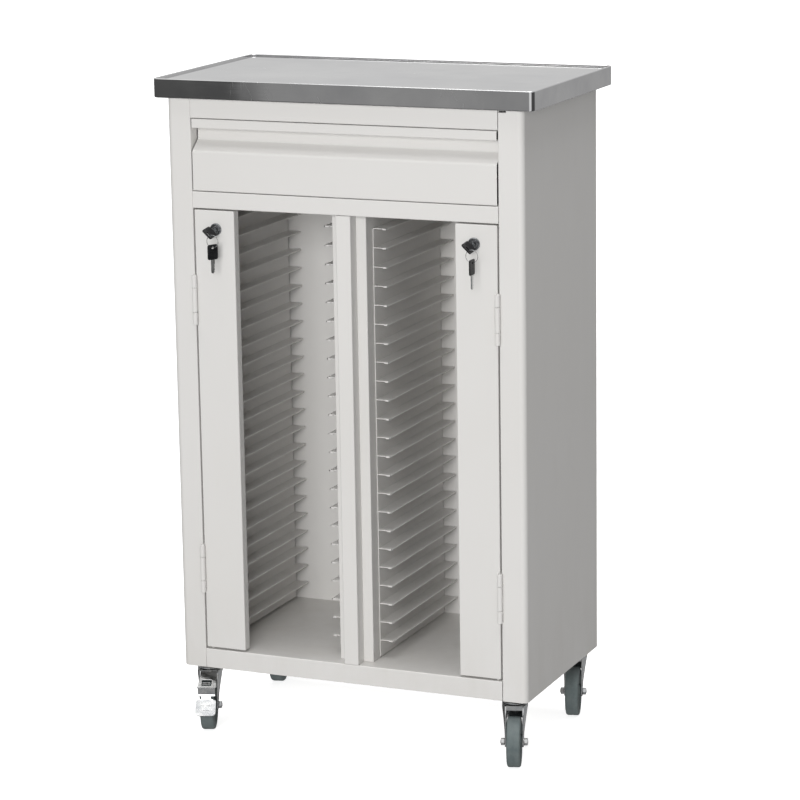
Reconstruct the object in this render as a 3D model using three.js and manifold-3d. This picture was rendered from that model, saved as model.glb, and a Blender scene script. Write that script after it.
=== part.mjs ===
// A medical-record trolley: a folded sheet-steel cabinet on four swivel casters. It has a stainless
// worktop tray, one drawer, and two bays of chart ledges, each kept shut by a narrow locking door.
// Lengths are in millimetres. X points right, Y to the back and Z up from the floor.
import * as THREE from 'three';
import { mergeVertices } from 'three/addons/utils/BufferGeometryUtils.js';
import Module from 'manifold-3d';

const wasm = await Module();
wasm.setup();

// ---- Driving dimensions -----------------------------------------------------------------------

const SHEET = 1.2;                  // folded sheet steel
const GAP = 0.4;                    // clearance between pieces that touch on the real trolley
const CENTRE_Y = -17.5;             // middle of the whole trolley's depth, pedal tip to tray

const BODY = { half: 300, front: -164, back: 164, bottom: 105, top: 1036, hidden: 1058.8 };
const STILE = { inner: 259, depth: 24, corner: 9, rear: 24 };
const TRAY = { half: 320, front: -173, back: 187, top: 1066.5, rim: 3, recess: 3, corner: 10, lip: 8 };
const OPENING = { bottom: 137, top: 862, half: 258.6 };         // the bays' front opening
const DRAWER_OPENING = { bottom: 889, top: 1005 };
const DECK_Z = 886.2;               // underside of the shelf below the drawer
const FLANGE = { top: 21, deck: 26, catch: 15.4 };              // depths of the rails' folded edges
const PAN_HOLE = { x: 249, y: -156, radius: 2.2 };
const MULLION = { half: 12.5, rear: -141.4 };
const DIVIDER = { half: 29, front: -141, back: 160.6 };
const RACK = { front: -116, back: 154, bottom: 140, outerPanel: 245.2, innerPanel: 29.4 };
const LEDGE = { count: 23, top: 837, pitch: 30.4, reach: 24.4, hem: 8 };

const DOOR = { inner: 187.5, outer: 256.6, bottom: 140, top: 860, depth: 17.6, lip: 8 };
const HINGE = { x: 257.8, y: -168.6, radius: 4.2, pin: 1.6, leaf: 0.7, leafBack: -148.5 };
const HINGE_LOW = [233, 675];       // bottom of the lower and the upper hinge
const HINGE_STEPS = [0, 20, 59.6, 80];                          // where the three knuckles part

const LOCK = { x: 219, z: 830, face: -167, disc: 9.75, barrel: 8.9, bore: 5.2, rear: -145.2 };
const LOCK_NUT = { radius: 12.75, near: 1.6, far: 5.6 };        // depths behind the door's face
const KEYWAY = { half: 4, thick: 1.3, depth: 6 };
const CAM = { reach: 36, width: 12, eye: 9, thick: 1.6, square: 4, screw: 5, squareEnd: 3, screwEnd: 5 };
const KEY = { half: 9.75, near: 8, far: 32, thick: 3, blade: 6.5, bladeThick: 1.8 };
const KEY_TURN = Math.PI / 4;       // the keyways rest turned 45 degrees
const KEY_DROOP = THREE.MathUtils.degToRad(6);
const KEY_SLOT = { low: -3, high: 7, near: 24.8, far: 28.8 };   // the hole for the split ring
const RING = { radius: 9.8, wire: 0.8, across: 2.9, down: 5.7, out: 26.8 };
const RING_LEAN = THREE.MathUtils.degToRad(31);
const SPARE = { above: 5, head: 24, blade: 22, slotHalf: 5, slotDepth: 4 };
const SPARE_YAW = { left: THREE.MathUtils.degToRad(-25), right: 0 };

const DRAWER = { half: 257, front: -164, bottom: 890, top: 1004, pull: -142, flange: 14 };
const PULL = { top: 15, slope: 35, bottom: 51.5 };              // heights below the drawer's top edge
const BOX = { half: 240, front: -141, back: 150, bottom: 893, top: 985 };
const RAIL = { bottom: 929.4, top: 943.6, outer: 253, setback: 4 };     // the drawer box's side bars
const RUNNER = { outer: 257, inner: 242.6, bottom: 927.4, top: 947.6, front: -139, back: 150 };
const BRACKET = { starts: [-120, 115], length: 30 };

const CHANNEL = { inner: 238.4, outer: 298.2, bottom: 105.3, top: 135.4, front: -154.6, back: 160.6 };
const CASTER = { x: 268, front: -133, back: 143, trail: 30 };
const WHEEL = { radius: 40, half: 11, shoulder: 3.4, rim: 34, boss: 10, bossHalf: 12.2, dish: 12, bore: 3.4 };
const FORK = { inner: 12.6, outer: 14.8, bottom: 84, top: 95.8, crown: 20.5, eye: 8.5 };
const LEG = { front: 17, back: -20, shoulder: -27, rise: 4 };   // where a fork leg meets the crown
const STEM = { cup: 20.5, cupTop: 104.9, stem: 6, stemTop: 128, pin: 4, pinBottom: 81, pinHead: 7 };
const STEM_NUT = { radius: 10, height: 8 };
const AXLE = { radius: 3, head: 6, half: 21.8 };
const WEB = [[-12, 94], [-20, 94], [-57, 77]];                  // from the crown over the tyre
const PEDAL = [[-60.6, 79.5], [-64.5, 70], [-70, 61, 3], [-88, 39]];
const PRESSED = 1.8;                // sheet of the web and pedal
const NECK = { half: 13, plateHalf: 16.5, y: [-76, -56], z: [61.5, 84] };
const CASTERS = [
  { name: 'fl', side: -1, end: 'front', turn: 20, braked: true },
  { name: 'fr', side: 1, end: 'front', turn: 18, braked: false },
  { name: 'bl', side: -1, end: 'back', turn: 14, braked: true },
  { name: 'br', side: 1, end: 'back', turn: 15, braked: false },
];

const FINISH = {
  paint: { color: 0xd6d3cf, roughness: 0.45, metalness: 0.0 },
  stainless: { color: 0xb4b6b8, roughness: 0.25, metalness: 1.0 },
  zinc: { color: 0xb9bdc1, roughness: 0.3, metalness: 1.0 },
  chrome: { color: 0x6b6e73, roughness: 0.2, metalness: 1.0 },
  black: { color: 0x1c1c1f, roughness: 0.5, metalness: 0.0 },
  tyre: { color: 0x6e7d7c, roughness: 0.7, metalness: 0.0 },
};

// ---- Solids -----------------------------------------------------------------------------------

// A closed geometry as a manifold solid.
function solid(geometry) {
  geometry.deleteAttribute('normal');
  geometry.deleteAttribute('uv');
  const merged = mergeVertices(geometry, 1e-4);
  return new wasm.Manifold(new wasm.Mesh({
    numProp: 3,
    vertProperties: new Float32Array(merged.attributes.position.array),
    triVerts: new Uint32Array(merged.index.array),
  }));
}

function toGeometry(shape) {
  const mesh = shape.getMesh();
  const geometry = new THREE.BufferGeometry();
  geometry.setAttribute('position', new THREE.BufferAttribute(mesh.vertProperties, 3));
  geometry.setIndex(new THREE.BufferAttribute(mesh.triVerts, 1));
  geometry.computeVertexNormals();
  return geometry;
}

function join(...shapes) {
  return shapes.reduce((whole, shape) => whole.add(shape));
}

function cut(shape, ...tools) {
  return tools.reduce((rest, tool) => rest.subtract(tool), shape);
}

// A span on one side of the middle, in rising order.
function span(side, a, b) {
  return side > 0 ? [a, b] : [-b, -a];
}

// A block between a low and a high value on each axis.
function block([x0, x1], [y0, y1], [z0, z1]) {
  const geometry = new THREE.BoxGeometry(x1 - x0, y1 - y0, z1 - z0);
  return solid(geometry.translate((x0 + x1) / 2, (y0 + y1) / 2, (z0 + z1) / 2));
}

const UNIT_X = new THREE.Vector3(1, 0, 0);
const UNIT_Y = new THREE.Vector3(0, 1, 0);
const UNIT_Z = new THREE.Vector3(0, 0, 1);
const FRAME = {
  x: new THREE.Matrix4().makeBasis(UNIT_Y, UNIT_Z, UNIT_X),
  y: new THREE.Matrix4().makeBasis(UNIT_X, UNIT_Z, UNIT_Y.clone().negate()),
  z: new THREE.Matrix4(),
};

// An outline pushed along one axis. It is drawn in (y, z) for x, in (x, z) for y and in (x, y) for z.
function prism(outline, axis, [low, high]) {
  const shape = new THREE.Shape(outline.map(([u, v]) => new THREE.Vector2(u, v)));
  const geometry = new THREE.ExtrudeGeometry(shape, { depth: high - low, bevelEnabled: false });
  geometry.translate(0, 0, axis === 'y' ? -high : low);
  return solid(geometry.applyMatrix4(FRAME[axis]));
}

function circle(u, v, radius, sides = 16) {
  return Array.from({ length: sides }, (_, i) => {
    const angle = (2 * Math.PI * i) / sides;
    return [u + radius * Math.cos(angle), v + radius * Math.sin(angle)];
  });
}

function rectangle([u0, u1], [v0, v1]) {
  return [[u0, v0], [u1, v0], [u1, v1], [u0, v1]];
}

// Turns an outline about a point.
function turned(outline, angle, [u0, v0]) {
  return outline.map(([u, v]) => [
    u0 + (u - u0) * Math.cos(angle) - (v - v0) * Math.sin(angle),
    v0 + (u - u0) * Math.sin(angle) + (v - v0) * Math.cos(angle),
  ]);
}

function roundedRectangle([u0, u1], [v0, v1], radius, steps = 4) {
  const corners = [[u1 - radius, v1 - radius], [u0 + radius, v1 - radius],
    [u0 + radius, v0 + radius], [u1 - radius, v0 + radius]];
  return corners.flatMap(([u, v], quarter) => Array.from({ length: steps + 1 }, (_, i) => {
    const angle = (Math.PI / 2) * (quarter + i / steps);
    return [u + radius * Math.cos(angle), v + radius * Math.sin(angle)];
  }));
}

// A path with its corners rounded: a point's third number is its bend radius.
function bendCorners(path, steps = 4) {
  return path.flatMap(([u, v, radius], i) => {
    const corner = new THREE.Vector2(u, v);
    if (!radius) return [corner];
    const into = corner.clone().sub(new THREE.Vector2(...path[i - 1].slice(0, 2))).normalize();
    const away = new THREE.Vector2(...path[i + 1].slice(0, 2)).sub(corner).normalize();
    const bend = Math.atan2(into.cross(away), into.dot(away));
    const start = corner.clone().addScaledVector(into, -radius * Math.tan(Math.abs(bend) / 2));
    const normal = new THREE.Vector2(-into.y, into.x).multiplyScalar(Math.sign(bend));
    const centre = start.clone().addScaledVector(normal, radius);
    return Array.from({ length: steps + 1 }, (_, k) => (
      start.clone().rotateAround(centre, (bend * k) / steps)
    ));
  });
}

// The outline of a folded sheet whose middle line is the path.
function fold(path, thickness = SHEET) {
  const line = bendCorners(path);
  const edge = (offset) => line.map((point, i) => {
    const before = point.clone().sub(line[Math.max(i - 1, 0)]).normalize();
    const after = line[Math.min(i + 1, line.length - 1)].clone().sub(point).normalize();
    if (i === 0) before.copy(after);
    if (i === line.length - 1) after.copy(before);
    const mitre = new THREE.Vector2(-before.y - after.y, before.x + after.x).normalize();
    const across = new THREE.Vector2(-before.y, before.x);
    const moved = point.clone().addScaledVector(mitre, offset / mitre.dot(across));
    return [moved.x, moved.y];
  });
  return [...edge(thickness / 2), ...edge(-thickness / 2).reverse()];
}

// ---- Pieces -----------------------------------------------------------------------------------

const materials = Object.fromEntries(Object.entries(FINISH).map(([name, finish]) => (
  [name, new THREE.MeshStandardMaterial(finish)]
)));

function piece(name, finish, shape) {
  const mesh = new THREE.Mesh(toGeometry(shape), materials[finish]);
  mesh.name = name;
  return mesh;
}

const sideName = (side) => (side < 0 ? 'left' : 'right');
const MID = SHEET / 2;              // from a sheet's face to its middle line

// A side panel wraps round the front corner into the stile and door jamb, and returns at the back.
// The jamb stops above the base channel.
function sidePanel(side) {
  const path = [
    [side * (STILE.inner + MID), BODY.front + STILE.depth],
    [side * (STILE.inner + MID), BODY.front + MID],
    [side * (BODY.half - MID), BODY.front + MID, STILE.corner],
    [side * (BODY.half - MID), BODY.back - MID],
    [side * (BODY.half - STILE.rear), BODY.back - MID],
  ];
  const foot = block(
    span(side, STILE.inner - 1, STILE.inner + SHEET + 1),
    [BODY.front + SHEET, BODY.front + STILE.depth + 1],
    [BODY.bottom - 1, CHANNEL.top + 0.2],
  );
  return cut(prism(fold(path), 'z', [BODY.bottom, BODY.hidden]), foot);
}

const LINING = BODY.half - SHEET - GAP;                         // inside face of the side panels
const REAR = BODY.back - SHEET - 0.3;                           // the back panel lies inside the returns

function backPanel() {
  return block([-LINING, LINING], [REAR - SHEET, REAR], [BODY.bottom + GAP, BODY.hidden]);
}

// The bays' floor: its front edge folds down as the bottom rail, with a hole below each door.
function bottomPan() {
  const floor = [OPENING.bottom - SHEET, OPENING.bottom];
  const jamb = BODY.front + STILE.depth + GAP;
  const holes = [-1, 1].map((side) => (
    prism(circle(side * PAN_HOLE.x, PAN_HOLE.y, PAN_HOLE.radius, 12), 'z', [floor[0] - 1, floor[1] + 1])
  ));
  return cut(join(
    block([-LINING, LINING], [jamb, REAR - SHEET - GAP], floor),
    block([-OPENING.half, OPENING.half], [BODY.front, jamb + 1], floor),
    block([-OPENING.half, OPENING.half], [BODY.front, BODY.front + SHEET], [BODY.bottom + 0.2, OPENING.bottom]),
  ), ...holes);
}

function topRail() {
  const path = [
    [BODY.front + MID, BODY.hidden],
    [BODY.front + MID, DRAWER_OPENING.top + MID],
    [BODY.front + FLANGE.top, DRAWER_OPENING.top + MID],
  ];
  return prism(fold(path), 'x', [-OPENING.half, OPENING.half]);
}

// The rail between drawer and bays: the cams catch behind its short lower flange.
function midRail() {
  const path = [
    [BODY.front + FLANGE.deck, DRAWER_OPENING.bottom - MID],
    [BODY.front + MID, DRAWER_OPENING.bottom - MID],
    [BODY.front + MID, OPENING.top + 0.2 + MID],
    [BODY.front + FLANGE.catch, OPENING.top + 0.2 + MID],
  ];
  return prism(fold(path), 'x', [-OPENING.half, OPENING.half]);
}

function deckShelf() {
  const z = [DECK_Z, DECK_Z + SHEET];
  const jamb = BODY.front + STILE.depth + GAP;
  return join(
    block([-LINING, LINING], [jamb, REAR - SHEET - GAP], z),
    block([-OPENING.half + GAP, OPENING.half - GAP], [BODY.front + 2, jamb + 1], z),
  );
}

function mullion() {
  const x = MULLION.half - MID;
  const path = [[x, MULLION.rear], [x, BODY.front + MID], [-x, BODY.front + MID], [-x, MULLION.rear]];
  return prism(fold(path), 'z', [OPENING.bottom + GAP, OPENING.top - 0.2]);
}

// A channel of full depth that parts the bays and carries the two inner racks.
function dividerPost() {
  const x = DIVIDER.half - MID;
  const path = [[x, DIVIDER.back], [x, DIVIDER.front + MID], [-x, DIVIDER.front + MID], [-x, DIVIDER.back]];
  return prism(fold(path), 'z', [OPENING.bottom + GAP, DECK_Z - GAP]);
}

// A rack is one panel with ledges, each hemmed double under its free edge.
function rackOutline(panel, way) {
  const outline = [[0, RACK.bottom], [SHEET, RACK.bottom]];
  for (let i = LEDGE.count - 1; i >= 0; i -= 1) {
    const z = LEDGE.top - i * LEDGE.pitch;
    const hem = LEDGE.reach - LEDGE.hem;
    outline.push([SHEET, z - SHEET], [hem, z - SHEET], [hem, z - 2 * SHEET]);
    outline.push([LEDGE.reach, z - 2 * SHEET], [LEDGE.reach, z], [i === 0 ? 0 : SHEET, z]);
  }
  return outline.map(([u, z]) => [panel + way * u, z]);
}

function innerRack(side) {
  return prism(rackOutline(side * RACK.innerPanel, side), 'y', [RACK.front, RACK.back]);
}

// An outer rack has a front flange as well, welded to the side panel.
function outerRack(side) {
  const comb = prism(rackOutline(side * RACK.outerPanel, -side), 'y', [RACK.front, RACK.back]);
  const flange = block(
    span(side, RACK.outerPanel - SHEET, LINING - 0.2),
    [RACK.front, RACK.front + SHEET],
    [RACK.bottom, LEDGE.top],
  );
  return join(comb, flange);
}

// A pan turned upside down: skirt and returned lip below, raised rim and sunk surface above.
function worktopTray() {
  const outline = (inset) => roundedRectangle(
    [-TRAY.half + inset, TRAY.half - inset],
    [TRAY.front + inset, TRAY.back - inset],
    Math.max(TRAY.corner - inset, 2),
  );
  const surface = TRAY.top - TRAY.recess;
  return cut(
    prism(outline(0), 'z', [BODY.top, TRAY.top]),
    prism(outline(TRAY.rim), 'z', [surface, TRAY.top + 1]),
    prism(outline(SHEET), 'z', [BODY.top + SHEET, surface - SHEET]),
    prism(outline(TRAY.lip), 'z', [BODY.top - 1, BODY.top + SHEET + 1]),
  );
}

// ---- Drawer -----------------------------------------------------------------------------------

// One folded front: a top strip, a finger-pull sunk below it, a slope back out and the flat face.
function drawerFront() {
  const face = DRAWER.front + MID;
  const path = [
    [face + DRAWER.flange, DRAWER.top - MID],
    [face, DRAWER.top - MID],
    [face, DRAWER.top - PULL.top + MID],
    [DRAWER.pull, DRAWER.top - PULL.top + MID],
    [DRAWER.pull, DRAWER.top - PULL.slope],
    [face, DRAWER.top - PULL.bottom],
    [face, DRAWER.bottom + MID],
    [DRAWER.pull, DRAWER.bottom + MID],
  ];
  return prism(fold(path), 'x', [-DRAWER.half, DRAWER.half]);
}

function drawerBox() {
  const outer = block([-BOX.half, BOX.half], [BOX.front, BOX.back], [BOX.bottom, BOX.top]);
  const inner = block(
    [-BOX.half + SHEET, BOX.half - SHEET],
    [BOX.front + SHEET, BOX.back - SHEET],
    [BOX.bottom + SHEET, BOX.top + 1],
  );
  const rails = [-1, 1].map((side) => (
    block(
      span(side, BOX.half - SHEET / 2, RAIL.outer),
      [BOX.front + RAIL.setback, BOX.back],
      [RAIL.bottom, RAIL.top],
    )
  ));
  return join(cut(outer, inner), ...rails);
}

// A channel open towards the drawer, on two brackets from the side panel.
function drawerRunner(side) {
  const path = [
    [side * RUNNER.inner, RUNNER.bottom + MID],
    [side * (RUNNER.outer - MID), RUNNER.bottom + MID],
    [side * (RUNNER.outer - MID), RUNNER.top - MID],
    [side * RUNNER.inner, RUNNER.top - MID],
  ];
  const middle = (RUNNER.bottom + RUNNER.top) / 2;
  const brackets = BRACKET.starts.map((y) => (
    block(span(side, RUNNER.outer - 0.5, LINING), [y, y + BRACKET.length], [middle - MID, middle + MID])
  ));
  return join(prism(fold(path), 'y', [RUNNER.front, RUNNER.back]), ...brackets);
}

// ---- Doors, hinges and locks ------------------------------------------------------------------

function door(side) {
  const front = BODY.front + MID;
  const rear = BODY.front + DOOR.depth - MID;
  const path = [
    [side * (DOOR.inner + DOOR.lip), rear],
    [side * (DOOR.inner + MID), rear],
    [side * (DOOR.inner + MID), front],
    [side * (DOOR.outer - MID), front],
    [side * (DOOR.outer - MID), rear],
    [side * (DOOR.outer - DOOR.lip), rear],
  ];
  const cap = (z) => block(span(side, DOOR.inner, DOOR.outer), [BODY.front, rear], [z, z + SHEET]);
  const hole = prism(circle(side * LOCK.x, LOCK.z, LOCK.barrel + 0.3), 'y', [BODY.front - 1, BODY.front + 4]);
  return cut(join(
    prism(fold(path), 'z', [DOOR.bottom, DOOR.top]),
    cap(DOOR.bottom),
    cap(DOOR.top - SHEET),
  ), hole);
}

function knuckle(side, [low, high]) {
  return prism(circle(side * HINGE.x, HINGE.y, HINGE.radius), 'z', [low, high]);
}

// One leaf of a butt hinge: its plate lies in the gap and its knuckles stand proud of the front.
function hingeLeaf(side, inner, base, knuckles) {
  const x = span(side, inner, inner + HINGE.leaf);
  const top = base + HINGE_STEPS[3];
  const plate = block(x, [BODY.front + 1, HINGE.leafBack], [base, top]);
  const tabs = knuckles.map((z) => block(x, [HINGE.y + 2.2, BODY.front + 2], z));
  return join(plate, ...tabs, ...knuckles.map((z) => knuckle(side, z)));
}

function frameLeaf(side, base) {
  const [, lower, upper, top] = HINGE_STEPS.map((step) => base + step);
  const knuckles = [[base, lower], [upper + GAP, top]];
  const pin = prism(circle(side * HINGE.x, HINGE.y, HINGE.pin, 8), 'z', [base + 5, top - 5]);
  return join(hingeLeaf(side, 258, base, knuckles), pin);
}

function doorLeaf(side, base) {
  const [, lower, upper] = HINGE_STEPS.map((step) => base + step);
  const bore = prism(circle(side * HINGE.x, HINGE.y, HINGE.pin + GAP, 8), 'z', [base, upper + 5]);
  return cut(hingeLeaf(side, 256.9, base, [[lower + GAP, upper]]), bore);
}

// A threaded barrel with its face disc outside the door and its nut inside.
function lockHousing(side) {
  const at = [side * LOCK.x, LOCK.z];
  const behind = BODY.front - 0.3;
  return cut(
    join(
      prism(circle(...at, LOCK.disc, 24), 'y', [LOCK.face, behind]),
      prism(circle(...at, LOCK.barrel), 'y', [behind - 0.5, LOCK.rear]),
      prism(circle(...at, LOCK_NUT.radius, 6), 'y', [BODY.front + LOCK_NUT.near, BODY.front + LOCK_NUT.far]),
    ),
    prism(circle(...at, LOCK.bore), 'y', [LOCK.face - 1, LOCK.rear + 1]),
  );
}

// The turning plug: keyway in front, square end for the cam and a screw head behind it.
function lockPlug(side) {
  const at = [side * LOCK.x, LOCK.z];
  const keyway = rectangle(
    [at[0] - KEYWAY.half, at[0] + KEYWAY.half],
    [at[1] - KEYWAY.thick, at[1] + KEYWAY.thick],
  );
  const square = turned(circle(...at, CAM.square, 4), Math.PI / 4, at);
  const squareEnd = LOCK.rear + CAM.squareEnd;
  return cut(
    join(
      prism(circle(...at, LOCK.bore - 0.3), 'y', [LOCK.face - 0.2, LOCK.rear]),
      prism(square, 'y', [LOCK.rear - 1, squareEnd]),
      prism(circle(...at, CAM.screw, 6), 'y', [squareEnd - 0.6, LOCK.rear + CAM.screwEnd]),
    ),
    prism(turned(keyway, -KEY_TURN, at), 'y', [LOCK.face - 1, LOCK.face + KEYWAY.depth]),
  );
}

function lockCam(side) {
  const at = [side * LOCK.x, LOCK.z];
  const arm = rectangle([at[0] - CAM.width / 2, at[0] + CAM.width / 2], [at[1], at[1] + CAM.reach]);
  const y = [LOCK.rear + 0.3, LOCK.rear + 0.3 + CAM.thick];
  return cut(
    join(prism(circle(...at, CAM.eye), 'y', y), prism(turned(arm, -side * KEY_TURN, at), 'y', y)),
    prism(turned(circle(...at, CAM.square + GAP, 4), Math.PI / 4, at), 'y', [LOCK.rear - 1, LOCK.rear + 4]),
  );
}

// The key stands out of its plug along -Y, with its head flat in XY. Its origin is the plug's face.
function key(side) {
  const thick = [-KEY.thick / 2, KEY.thick / 2];
  const head = cut(
    prism(roundedRectangle([-KEY.half, KEY.half], [-KEY.far, -KEY.near], 3, 3), 'z', thick),
    block([KEY_SLOT.low, KEY_SLOT.high], [-KEY_SLOT.far, -KEY_SLOT.near], [-3, 3]),
  );
  const blade = block(
    [-KEY.blade / 2, KEY.blade / 2],
    [-KEY.near - 1, 3],
    [-KEY.bladeThick / 2, KEY.bladeThick / 2],
  );
  const mesh = piece(`key_${sideName(side)}`, 'black', join(head, blade));
  mesh.position.set(side * LOCK.x, LOCK.face, LOCK.z);
  mesh.rotation.set(KEY_DROOP, KEY_TURN, 0);
  return mesh;
}

// The split ring hangs from the key's slot, and the spare key from the ring's lowest point.
function ringCentre(side) {
  return new THREE.Vector3(
    side * LOCK.x + RING.across + RING.radius * Math.sin(RING_LEAN),
    LOCK.face - RING.out,
    LOCK.z - RING.down - RING.radius * Math.cos(RING_LEAN),
  );
}

function keyRing(side) {
  const torus = new THREE.TorusGeometry(RING.radius, RING.wire, 5, 18).rotateX(Math.PI / 2);
  const mesh = piece(`key_ring_${sideName(side)}`, 'zinc', solid(torus));
  mesh.position.copy(ringCentre(side));
  return mesh;
}

function spareKey(side) {
  const bottom = SPARE.above - SPARE.head;
  const thick = [-KEY.thick / 2, KEY.thick / 2];
  const head = cut(
    prism(roundedRectangle([-KEY.half, KEY.half], [bottom, SPARE.above], 3, 3), 'x', thick),
    block([-3, 3], [-SPARE.slotHalf, SPARE.slotHalf], [1.2 - SPARE.slotDepth, 1.2]),
  );
  const blade = block(
    [-KEY.bladeThick / 2, KEY.bladeThick / 2],
    [-KEY.blade / 2, KEY.blade / 2],
    [bottom - SPARE.blade, bottom + 1],
  );
  const mesh = piece(`spare_key_${sideName(side)}`, 'black', join(head, blade));
  mesh.position.copy(ringCentre(side));
  mesh.position.z -= RING.radius;
  mesh.rotation.z = SPARE_YAW[sideName(side)];
  return mesh;
}

// ---- Base and casters -------------------------------------------------------------------------

// A channel under each end of the floor: the casters' stems bolt through its web.
function baseChannel(side) {
  const path = [
    [side * (CHANNEL.inner + MID), CHANNEL.top],
    [side * (CHANNEL.inner + MID), CHANNEL.bottom + MID],
    [side * (CHANNEL.outer - MID), CHANNEL.bottom + MID],
    [side * (CHANNEL.outer - MID), CHANNEL.top],
  ];
  const web = [CHANNEL.bottom - 1, CHANNEL.bottom + SHEET + 1];
  const holes = [CASTER.front, CASTER.back].map((y) => (
    prism(circle(side * CASTER.x, y, STEM.stem + 0.3, 16), 'z', web)
  ));
  return cut(prism(fold(path), 'y', [CHANNEL.front, CHANNEL.back]), ...holes);
}

// Everything below is drawn round the swivel axis, with the wheel trailing towards -Y.

function casterStem() {
  const web = CHANNEL.bottom + SHEET;
  return join(
    prism(circle(0, 0, STEM.cup, 20), 'z', [FORK.top + GAP, STEM.cupTop]),
    prism(circle(0, 0, STEM.stem, 12), 'z', [STEM.cupTop - 1, STEM.stemTop]),
    prism(circle(0, 0, STEM_NUT.radius, 6), 'z', [web + GAP, web + GAP + STEM_NUT.height]),
    prism(circle(0, 0, STEM.pin, 12), 'z', [STEM.pinBottom, FORK.top + 1]),
    prism(circle(0, 0, STEM.pinHead, 12), 'z', [STEM.pinBottom, FORK.bottom - GAP]),
  );
}

// A crown under the cup with two legs, and a sloping web above the tyre where a pedal hangs.
function casterFork(braked) {
  const axle = [-CASTER.trail, WHEEL.radius];
  const eye = circle(...axle, FORK.eye, 16).slice(8, 16);
  const leg = [
    [LEG.front, FORK.top],
    [LEG.back, FORK.top],
    [LEG.shoulder, FORK.bottom],
    ...eye,
    [LEG.front - LEG.rise, FORK.bottom - LEG.rise],
  ];
  const parts = [
    prism(circle(0, 0, FORK.crown, 20), 'z', [FORK.bottom, FORK.top]),
    prism(leg, 'x', [FORK.inner, FORK.outer]),
    prism(leg, 'x', [-FORK.outer, -FORK.inner]),
  ];
  if (braked) parts.push(prism(fold(WEB, PRESSED), 'x', [-FORK.outer, FORK.outer]));
  return cut(
    join(...parts),
    prism(circle(0, 0, STEM.pin + GAP, 12), 'z', [FORK.bottom - 5, FORK.top + 5]),
    prism(circle(...axle, AXLE.radius + 0.3, 12), 'x', [-FORK.crown, FORK.crown]),
  );
}

function casterAxle() {
  const at = [-CASTER.trail, WHEEL.radius];
  const head = FORK.outer + 0.3;
  return join(
    prism(circle(...at, AXLE.radius, 12), 'x', [-AXLE.half, AXLE.half]),
    prism(circle(...at, AXLE.head, 6), 'x', [head, AXLE.half]),
    prism(circle(...at, AXLE.head, 6), 'x', [-AXLE.half, -head]),
  );
}

// A tyre section turned about the axle, with round shoulders and a hub boss on each side.
function casterWheel() {
  const { radius, half, shoulder, rim, boss, bossHalf, dish, bore } = WHEEL;
  const near = [
    [bore, bossHalf], [boss, bossHalf], [dish, half - 1], [rim, half],
    [radius - shoulder, half], [radius, half - shoulder],
  ];
  const far = near.map(([r, x]) => [r, -x]).reverse();
  const outline = [...far, ...near, far[0]].reverse().map(([r, x]) => new THREE.Vector2(r, x));
  const geometry = new THREE.LatheGeometry(outline, 28);
  geometry.rotateZ(-Math.PI / 2).translate(0, -CASTER.trail, radius);
  return solid(geometry);
}

function brakePedal() {
  const strap = prism(fold(PEDAL, PRESSED), 'x', [-NECK.plateHalf, NECK.plateHalf]);
  const sides = [-1, 1].map((side) => block(span(side, NECK.half, NECK.plateHalf + 1), NECK.y, NECK.z));
  return cut(strap, ...sides);
}

function caster({ name, side, end, turn, braked }) {
  const group = new THREE.Group();
  group.position.set(side * CASTER.x, CASTER[end], 0);
  group.rotation.z = THREE.MathUtils.degToRad(turn);
  group.add(
    piece(`caster_stem_${name}`, 'zinc', casterStem()),
    piece(`caster_fork_${name}`, 'zinc', casterFork(braked)),
    piece(`caster_axle_${name}`, 'zinc', casterAxle()),
    piece(`caster_wheel_${name}`, 'tyre', casterWheel()),
  );
  if (braked) group.add(piece(`brake_pedal_${name}`, 'zinc', brakePedal()));
  return group;
}

// ---- The trolley ------------------------------------------------------------------------------

const group = new THREE.Group();
group.position.y = -CENTRE_Y;

group.add(
  piece('worktop_tray', 'stainless', worktopTray()),
  piece('back_panel', 'paint', backPanel()),
  piece('bottom_pan', 'paint', bottomPan()),
  piece('top_rail', 'paint', topRail()),
  piece('mid_rail', 'paint', midRail()),
  piece('deck_shelf', 'paint', deckShelf()),
  piece('mullion', 'paint', mullion()),
  piece('divider_post', 'paint', dividerPost()),
  piece('drawer_front', 'paint', drawerFront()),
  piece('drawer_box', 'paint', drawerBox()),
);

for (const side of [-1, 1]) {
  const name = sideName(side);
  group.add(
    piece(`side_panel_${name}`, 'paint', sidePanel(side)),
    piece(`rack_${name}_outer`, 'paint', outerRack(side)),
    piece(`rack_${name}_inner`, 'paint', innerRack(side)),
    piece(`drawer_runner_${name}`, 'zinc', drawerRunner(side)),
    piece(`base_channel_${name}`, 'paint', baseChannel(side)),
    piece(`door_${name}`, 'paint', door(side)),
    piece(`lock_housing_${name}`, 'chrome', lockHousing(side)),
    piece(`lock_plug_${name}`, 'chrome', lockPlug(side)),
    piece(`lock_cam_${name}`, 'zinc', lockCam(side)),
    key(side),
    keyRing(side),
    spareKey(side),
  );
  HINGE_LOW.forEach((base, i) => {
    const place = i === 0 ? 'lower' : 'upper';
    group.add(
      piece(`hinge_frame_leaf_${name}_${place}`, 'paint', frameLeaf(side, base)),
      piece(`hinge_door_leaf_${name}_${place}`, 'paint', doorLeaf(side, base)),
    );
  });
}

for (const place of CASTERS) group.add(caster(place));

export default group;
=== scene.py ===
"""The looks of a medical-record trolley: folded sheet steel, a stainless worktop, locks and casters.

Shapes are drawn in millimetres in the frame's own axes, and become metres when a piece is made.
"""
import math

import bmesh
import bpy
from mathutils import Matrix, Vector


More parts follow.
